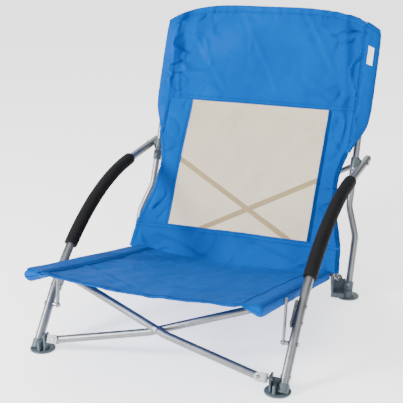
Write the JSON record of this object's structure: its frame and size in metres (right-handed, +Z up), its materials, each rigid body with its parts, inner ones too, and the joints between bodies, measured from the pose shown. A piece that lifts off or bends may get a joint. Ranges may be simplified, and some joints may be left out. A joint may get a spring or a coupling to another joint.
{
  "type": "folding camp chair",
  "caption": "Low folding camp chair with a steel tube frame, a fabric sling seat, a reclined back with a mesh window and foam-covered arms that run down as front legs.",
  "frame": {"origin": "on the floor, under the middle of the open chair", "axes": "+Z up, +X to the right as seen by a person facing the chair, the sitter faces -Y, so +Y runs from the front feet to the back"},
  "size_m": [0.622, 0.8522, 0.65],
  "materials": {
    "blue_fabric": "woven polyester, bright blue",
    "beige_mesh": "fine open mesh",
    "white_label": "blank woven label",
    "black_foam": "matte closed-cell foam",
    "satin_steel": "satin grey powder coat",
    "grey_plastic": "moulded, fine grain",
    "white_plastic": "moulded",
    "zinc_hardware": "zinc plated",
    "dark_steel": "grey coated plate",
    "bright_steel": "bright tube"
  },
  "bodies": {
    "left_frame": {"left_upright": "bright_steel", "left_upright_cap": "grey_plastic", "left_stop_collar": "grey_plastic", "left_rear_foot": "grey_plastic", "left_upright_rivets": "zinc_hardware", "left_foot_pins": "zinc_hardware", "back_fabric": "blue_fabric", "mesh_window": "beige_mesh"},
    "rear_cross_a": {"rear_cross_tube_a": "bright_steel", "rear_cross_rivet": "zinc_hardware"},
    "rear_cross_b": {"rear_cross_tube_b": "bright_steel"},
    "right_frame": {"right_upright": "bright_steel", "right_upright_cap": "grey_plastic", "right_stop_collar": "grey_plastic", "right_rear_foot": "grey_plastic", "right_upright_rivets": "zinc_hardware", "right_foot_pins": "zinc_hardware", "label_tag": "white_label"},
    "left_slider": {"left_slider_hub": "grey_plastic", "left_hub_pins": "zinc_hardware"},
    "left_arm": {"left_arm_tube": "satin_steel", "left_arm_plug": "grey_plastic", "left_foam_grip": "black_foam", "left_front_foot": "grey_plastic", "left_leg_bracket": "dark_steel", "left_leg_rivets": "zinc_hardware", "left_strut_bolt": "zinc_hardware", "left_knuckle_pin": "zinc_hardware"},
    "left_rail": {"left_seat_rail": "bright_steel", "left_rail_cap": "grey_plastic", "seat_fabric": "blue_fabric"},
    "left_strut_link": {"left_strut": "bright_steel"},
    "left_knuckle_link": {"left_knuckle": "white_plastic", "left_knuckle_rivet": "zinc_hardware"},
    "front_cross_a": {"front_cross_tube_a": "bright_steel", "front_cross_plug_a": "grey_plastic", "front_cross_rivet_a": "zinc_hardware"},
    "right_slider": {"right_slider_hub": "grey_plastic", "right_hub_pins": "zinc_hardware"},
    "right_arm": {"right_arm_tube": "satin_steel", "right_arm_plug": "grey_plastic", "right_foam_grip": "black_foam", "right_front_foot": "grey_plastic", "right_leg_bracket": "dark_steel", "right_leg_rivets": "zinc_hardware", "right_strut_bolt": "zinc_hardware", "right_knuckle_pin": "zinc_hardware"},
    "right_rail": {"right_seat_rail": "bright_steel", "right_rail_cap": "grey_plastic"},
    "right_strut_link": {"right_strut": "bright_steel"},
    "right_knuckle_link": {"right_knuckle": "white_plastic", "right_knuckle_rivet": "zinc_hardware"},
    "front_cross_b": {"front_cross_tube_b": "bright_steel", "front_cross_plug_b": "grey_plastic", "front_cross_rivet_b": "zinc_hardware"}
  },
  "joints": [
    {"name": "fold", "type": "hinge", "parent": "left_frame", "child": "rear_cross_a", "pos_m": [-0.257, 0.16898, 0.04], "axis": [0, -0.9164, 0.4003], "range_deg": [0, 50], "deforming": ["back_fabric", "mesh_window", "label_tag", "seat_fabric"]},
    {"name": "rear_crossing", "type": "hinge", "parent": "rear_cross_a", "child": "rear_cross_b", "pos_m": [0, 0.22555, 0.1695], "axis": [0, -0.9164, 0.4003], "range_deg": [-100, 0]},
    {"name": "right_frame_turn", "type": "hinge", "parent": "rear_cross_b", "child": "right_frame", "pos_m": [0.257, 0.16898, 0.04], "axis": [0, -0.9164, 0.4003], "range_deg": [0, 50]},
    {"name": "left_slider_turn", "type": "hinge", "parent": "rear_cross_b", "child": "left_slider", "pos_m": [-0.257, 0.28213, 0.299], "axis": [0, -0.9164, 0.4003], "range_deg": [0, 50]},
    {"name": "right_slider_turn", "type": "hinge", "parent": "rear_cross_a", "child": "right_slider", "pos_m": [0.257, 0.28213, 0.299], "axis": [0, -0.9164, 0.4003], "range_deg": [-50, 0]},
    {"name": "left_arm_pivot", "type": "hinge", "parent": "left_slider", "child": "left_arm", "pos_m": [-0.2824, 0.2825, 0.2997], "axis": [1, 0, 0], "range_deg": [0, 36]},
    {"name": "left_rail_pivot", "type": "hinge", "parent": "left_frame", "child": "left_rail", "pos_m": [-0.239, 0.1285, 0.062], "axis": [1, 0, 0], "range_deg": [-86, 0]},
    {"name": "left_strut_pivot", "type": "hinge", "parent": "left_arm", "child": "left_strut_link", "pos_m": [-0.253, -0.29163, 0.07882], "axis": [1, 0, 0], "range_deg": [-30, 0]},
    {"name": "left_knuckle_pivot", "type": "hinge", "parent": "left_arm", "child": "left_knuckle_link", "pos_m": [-0.24, -0.3575, 0.031], "axis": [1, 0, 0], "range_deg": [-26, 0]},
    {"name": "front_cross_a_pivot", "type": "hinge", "parent": "left_knuckle_link", "child": "front_cross_a", "pos_m": [-0.228, -0.3575, 0.031], "axis": [0, -0.8914, 0.4531], "range_deg": [0, 70]},
    {"name": "right_arm_pivot", "type": "hinge", "parent": "right_slider", "child": "right_arm", "pos_m": [0.2824, 0.2825, 0.2997], "axis": [1, 0, 0], "range_deg": [0, 36]},
    {"name": "right_rail_pivot", "type": "hinge", "parent": "right_frame", "child": "right_rail", "pos_m": [0.239, 0.1285, 0.062], "axis": [1, 0, 0], "range_deg": [-86, 0]},
    {"name": "right_strut_pivot", "type": "hinge", "parent": "right_arm", "child": "right_strut_link", "pos_m": [0.253, -0.29163, 0.07882], "axis": [1, 0, 0], "range_deg": [-30, 0]},
    {"name": "right_knuckle_pivot", "type": "hinge", "parent": "right_arm", "child": "right_knuckle_link", "pos_m": [0.24, -0.3575, 0.031], "axis": [1, 0, 0], "range_deg": [-26, 0]},
    {"name": "front_cross_b_pivot", "type": "hinge", "parent": "right_knuckle_link", "child": "front_cross_b", "pos_m": [0.228, -0.3575, 0.031], "axis": [0, -0.8914, 0.4531], "range_deg": [-70, 0]}
  ],
  "couplings": [
    {"joint": "rear_crossing", "follows": "fold", "ratio": -2},
    {"joint": "right_frame_turn", "follows": "fold", "ratio": 1},
    {"joint": "left_slider_turn", "follows": "fold", "ratio": 1},
    {"joint": "right_slider_turn", "follows": "fold", "ratio": -1},
    {"joint": "left_arm_pivot", "follows": "fold", "ratio": 0.72},
    {"joint": "left_rail_pivot", "follows": "fold", "ratio": -1.72},
    {"joint": "left_strut_pivot", "follows": "fold", "ratio": -0.6},
    {"joint": "left_knuckle_pivot", "follows": "fold", "ratio": -0.52},
    {"joint": "front_cross_a_pivot", "follows": "fold", "ratio": 1.4},
    {"joint": "right_arm_pivot", "follows": "fold", "ratio": 0.72},
    {"joint": "right_rail_pivot", "follows": "fold", "ratio": -1.72},
    {"joint": "right_strut_pivot", "follows": "fold", "ratio": -0.6},
    {"joint": "right_knuckle_pivot", "follows": "fold", "ratio": -0.52},
    {"joint": "front_cross_b_pivot", "follows": "fold", "ratio": -1.4}
  ]
}
